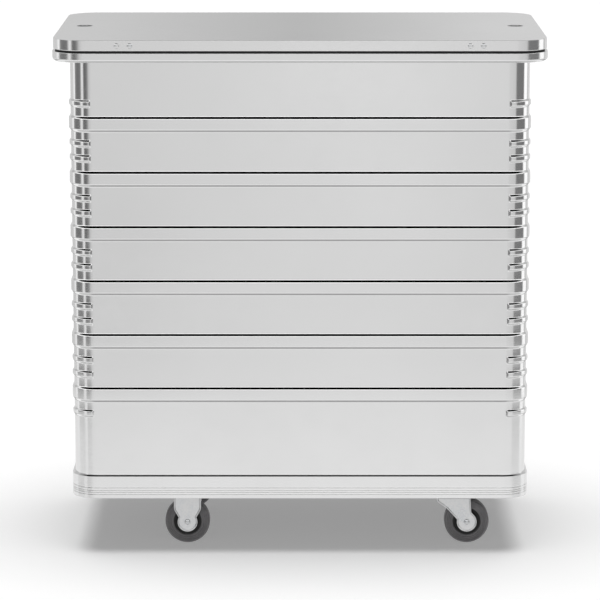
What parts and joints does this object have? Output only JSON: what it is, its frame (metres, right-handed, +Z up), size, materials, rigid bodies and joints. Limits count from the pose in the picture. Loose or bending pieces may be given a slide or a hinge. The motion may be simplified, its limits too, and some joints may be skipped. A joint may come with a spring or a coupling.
{
  "type": "rolling container chest",
  "caption": "Rectangular sheet-metal chest on four casters, with beaded walls, a ribbed base rail and a lift-off lid with two turn latches.",
  "frame": {"origin": "on the floor, under the middle of the chest's box", "axes": "+Z up, +X along the long side towards the swivel casters, -Y the front"},
  "size_m": [1.074, 0.604, 1.149],
  "materials": {
    "wall_sheet": "rolled sheet, satin",
    "lid_sheet": "rolled sheet, satin",
    "frame_extrusion": "extruded, satin",
    "rail_extrusion": "extruded, matt anodised",
    "inner_sheet": "mill finish",
    "rivet_alloy": "satin",
    "zinc_steel": "zinc plated, pressed",
    "bolt_steel": "zinc plated",
    "latch_metal": "black coated die casting",
    "tyre_rubber": "grey moulded rubber",
    "core_plastic": "black moulded",
    "seal_rubber": "matt black"
  },
  "bodies": {
    "chest": {"wall_front": "wall_sheet", "wall_rear": "wall_sheet", "seam_strap_left": "inner_sheet", "seam_strap_right": "inner_sheet", "seam_rivets": "rivet_alloy", "floor_panel": "inner_sheet", "floor_rivets": "rivet_alloy", "base_rail": "rail_extrusion", "bearer_left": "inner_sheet", "bearer_right": "inner_sheet", "bearer_rivets": "rivet_alloy", "top_frame": "frame_extrusion", "top_frame_rivets": "rivet_alloy", "strike_left": "zinc_steel", "strike_right": "zinc_steel", "caster_bolts": "bolt_steel", "caster_nuts": "bolt_steel", "fixed_fork_front": "zinc_steel", "fixed_bush_front": "bolt_steel", "fixed_axle_front": "bolt_steel", "fixed_nut_front": "bolt_steel", "swivel_plate_front": "zinc_steel", "swivel_kingpin_front": "bolt_steel", "fixed_fork_rear": "zinc_steel", "fixed_bush_rear": "bolt_steel", "fixed_axle_rear": "bolt_steel", "fixed_nut_rear": "bolt_steel", "swivel_plate_rear": "zinc_steel", "swivel_kingpin_rear": "bolt_steel"},
    "lid": {"lid_panel": "lid_sheet", "lid_stiffener_left": "inner_sheet", "lid_stiffener_right": "inner_sheet", "lid_seal": "seal_rubber", "lid_rivets": "rivet_alloy", "latch_cup_left": "latch_metal", "latch_cup_right": "latch_metal"},
    "latch_left": {"latch_plug_left": "bolt_steel", "latch_cam_left": "zinc_steel", "latch_screw_left": "bolt_steel"},
    "latch_right": {"latch_plug_right": "bolt_steel", "latch_cam_right": "zinc_steel", "latch_screw_right": "bolt_steel"},
    "fixed_wheel_front": {"fixed_core_front": "core_plastic", "fixed_tyre_front": "tyre_rubber"},
    "swivel_front": {"swivel_fork_front": "zinc_steel", "swivel_bush_front": "bolt_steel", "swivel_axle_front": "bolt_steel", "swivel_nut_front": "bolt_steel", "swivel_balls_front": "bolt_steel"},
    "swivel_wheel_front": {"swivel_core_front": "core_plastic", "swivel_tyre_front": "tyre_rubber"},
    "fixed_wheel_rear": {"fixed_core_rear": "core_plastic", "fixed_tyre_rear": "tyre_rubber"},
    "swivel_rear": {"swivel_fork_rear": "zinc_steel", "swivel_bush_rear": "bolt_steel", "swivel_axle_rear": "bolt_steel", "swivel_nut_rear": "bolt_steel", "swivel_balls_rear": "bolt_steel"},
    "swivel_wheel_rear": {"swivel_core_rear": "core_plastic", "swivel_tyre_rear": "tyre_rubber"}
  },
  "joints": [
    {"name": "lid_lift", "type": "slide", "parent": "chest", "child": "lid", "axis": [0, 0, 1], "range_m": [0, 0.35]},
    {"name": "latch_turn_left", "type": "hinge", "parent": "lid", "child": "latch_left", "pos_m": [-0.482, 0, 1.13], "axis": [0, 0, 1], "range_deg": [0, 90]},
    {"name": "latch_turn_right", "type": "hinge", "parent": "lid", "child": "latch_right", "pos_m": [0.482, 0, 1.13], "axis": [0, 0, 1], "range_deg": [0, 90]},
    {"name": "fixed_wheel_spin_front", "type": "hinge", "parent": "chest", "child": "fixed_wheel_front", "pos_m": [-0.253, -0.157, 0.05], "axis": [0, 1, 0], "continuous": true},
    {"name": "swivel_turn_front", "type": "hinge", "parent": "chest", "child": "swivel_front", "pos_m": [0.34, -0.157, 0.11], "axis": [0, 0, 1], "continuous": true},
    {"name": "swivel_wheel_spin_front", "type": "hinge", "parent": "swivel_front", "child": "swivel_wheel_front", "pos_m": [0.375, -0.157, 0.05], "axis": [0, 1, 0], "continuous": true},
    {"name": "fixed_wheel_spin_rear", "type": "hinge", "parent": "chest", "child": "fixed_wheel_rear", "pos_m": [-0.253, 0.157, 0.05], "axis": [0, 1, 0], "continuous": true},
    {"name": "swivel_turn_rear", "type": "hinge", "parent": "chest", "child": "swivel_rear", "pos_m": [0.34, 0.157, 0.11], "axis": [0, 0, 1], "continuous": true},
    {"name": "swivel_wheel_spin_rear", "type": "hinge", "parent": "swivel_rear", "child": "swivel_wheel_rear", "pos_m": [0.375, 0.157, 0.05], "axis": [0, 1, 0], "continuous": true}
  ]
}
